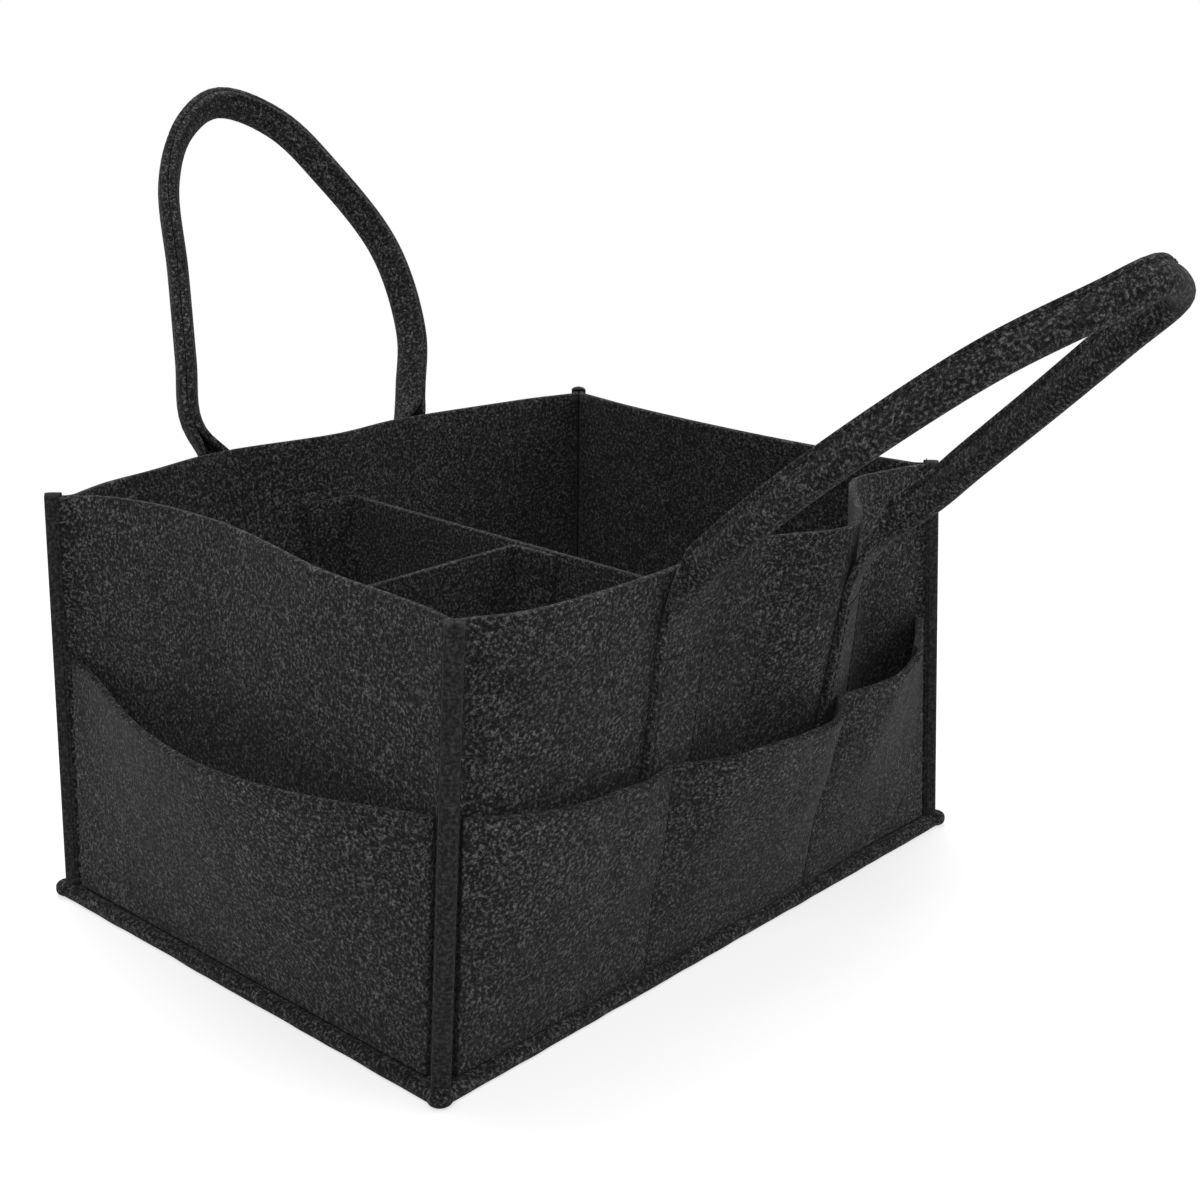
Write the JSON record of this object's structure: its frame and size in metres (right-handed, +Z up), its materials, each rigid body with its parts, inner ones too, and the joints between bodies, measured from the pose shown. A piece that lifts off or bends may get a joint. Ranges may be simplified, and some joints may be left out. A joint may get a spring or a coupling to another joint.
{
  "type": "diaper caddy",
  "caption": "Soft open-topped felt caddy with outside pockets all round, two folded felt strap handles sewn to the long walls, and a lift-out divider",
  "frame": {"origin": "middle of the base panel's underside, on the surface the caddy stands on", "axes": "X runs along the long walls, Y across the short way with the front wall facing -Y, Z up"},
  "size_m": [0.3563, 0.5057, 0.3337],
  "materials": {
    "felt": "matte heathered needle felt, charcoal grey",
    "seam_tape": "smooth woven binding tape, near black",
    "hook_tape": "short nylon hooks on a woven tape, black"
  },
  "bodies": {
    "caddy_body": {"base_panel": "felt", "front_wall": "felt", "rear_wall": "felt", "left_end_wall": "felt", "right_end_wall": "felt", "front_pocket_panel": "felt", "rear_pocket_panel": "felt", "left_end_pocket": "felt", "right_end_pocket": "felt", "front_handle_foot_left": "felt", "front_handle_foot_right": "felt", "rear_handle_foot_left": "felt", "rear_handle_foot_right": "felt", "seam_binding_front_left": "seam_tape", "seam_binding_front_right": "seam_tape", "seam_binding_rear_right": "seam_tape", "seam_binding_rear_left": "seam_tape"},
    "front_handle": {"front_handle_loop": "felt"},
    "rear_handle": {"rear_handle_loop": "felt"},
    "divider": {"cross_divider": "felt", "long_divider": "felt", "hook_tape_front": "hook_tape", "hook_tape_rear": "hook_tape", "hook_tape_left": "hook_tape"}
  },
  "joints": [
    {"name": "front_handle_swing", "type": "hinge", "parent": "caddy_body", "child": "front_handle", "pos_m": [0.0055, -0.14289, 0.174], "axis": [0.9931, -0.1174, 0], "range_deg": [-62, 91]},
    {"name": "rear_handle_swing", "type": "hinge", "parent": "caddy_body", "child": "rear_handle", "pos_m": [-0.0065, 0.1369, 0.174], "axis": [0.9991, -0.0424, 0], "range_deg": [-114, 37]},
    {"name": "divider_lift", "type": "slide", "parent": "caddy_body", "child": "divider", "axis": [0, 0, 1], "range_m": [0, 0.36]}
  ]
}
